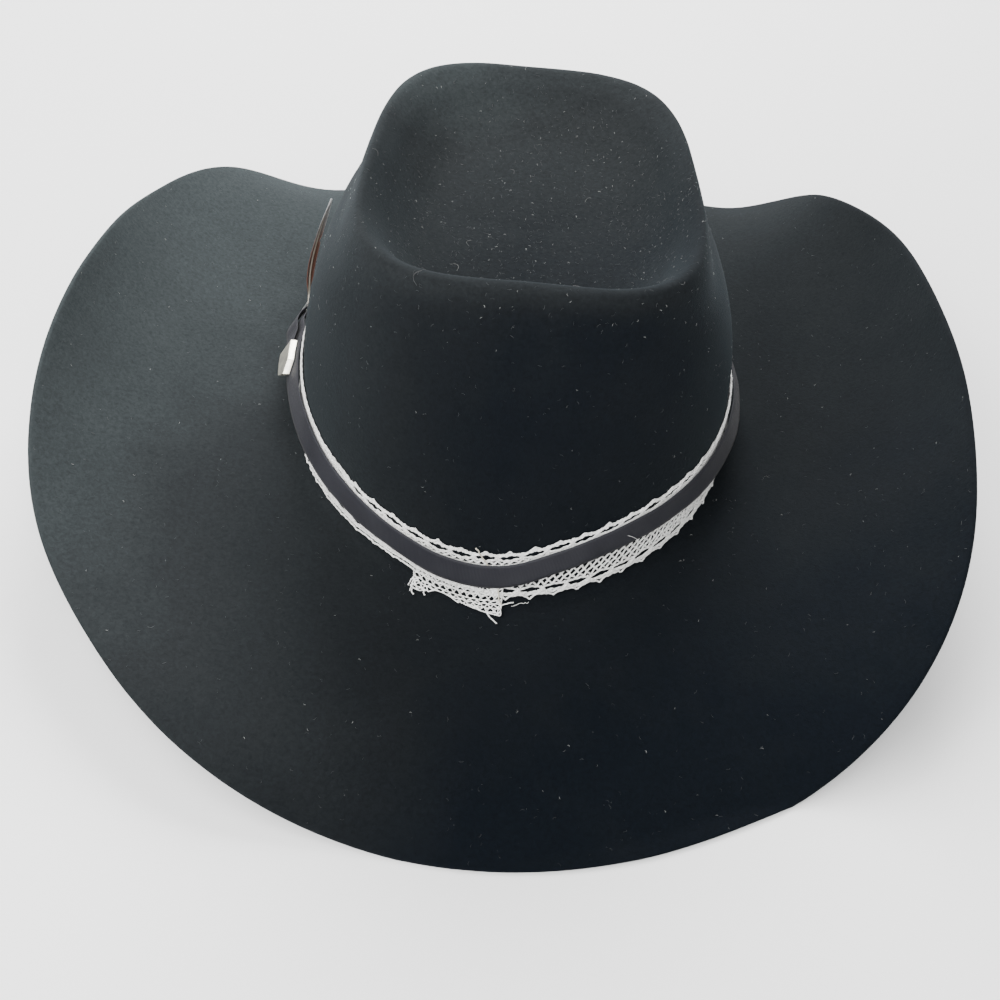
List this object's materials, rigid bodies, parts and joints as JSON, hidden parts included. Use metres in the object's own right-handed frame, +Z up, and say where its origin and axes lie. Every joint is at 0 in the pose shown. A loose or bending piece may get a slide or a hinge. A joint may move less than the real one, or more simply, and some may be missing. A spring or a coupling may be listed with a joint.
{
  "type": "felt cowboy hat",
  "caption": "Felt hat with a dented crown, a wide rolled brim, a crochet lace band under a narrow ribbon, a metal keeper and tip, and a small feather.",
  "frame": {"origin": "on the surface that the hat lies on, under the middle of the brim's outline", "axes": "+Z up through the crown, +Y towards the front of the hat, +X towards the wearer's right"},
  "size_m": [0.3512, 0.408, 0.1414],
  "materials": {
    "felt": "brushed wool felt, blue-black, dusty",
    "lace": "off-white cotton crochet",
    "ribbon": "charcoal ribbed ribbon, soft sheen",
    "metal": "pale worn metal",
    "feather": "brown feather with a pale tip and quill"
  },
  "bodies": {
    "root": {"felt_body": "felt", "lace_band": "lace", "ribbon": "ribbon", "keeper": "metal", "ribbon_tip": "metal", "feather": "feather"}
  },
  "joints": []
}
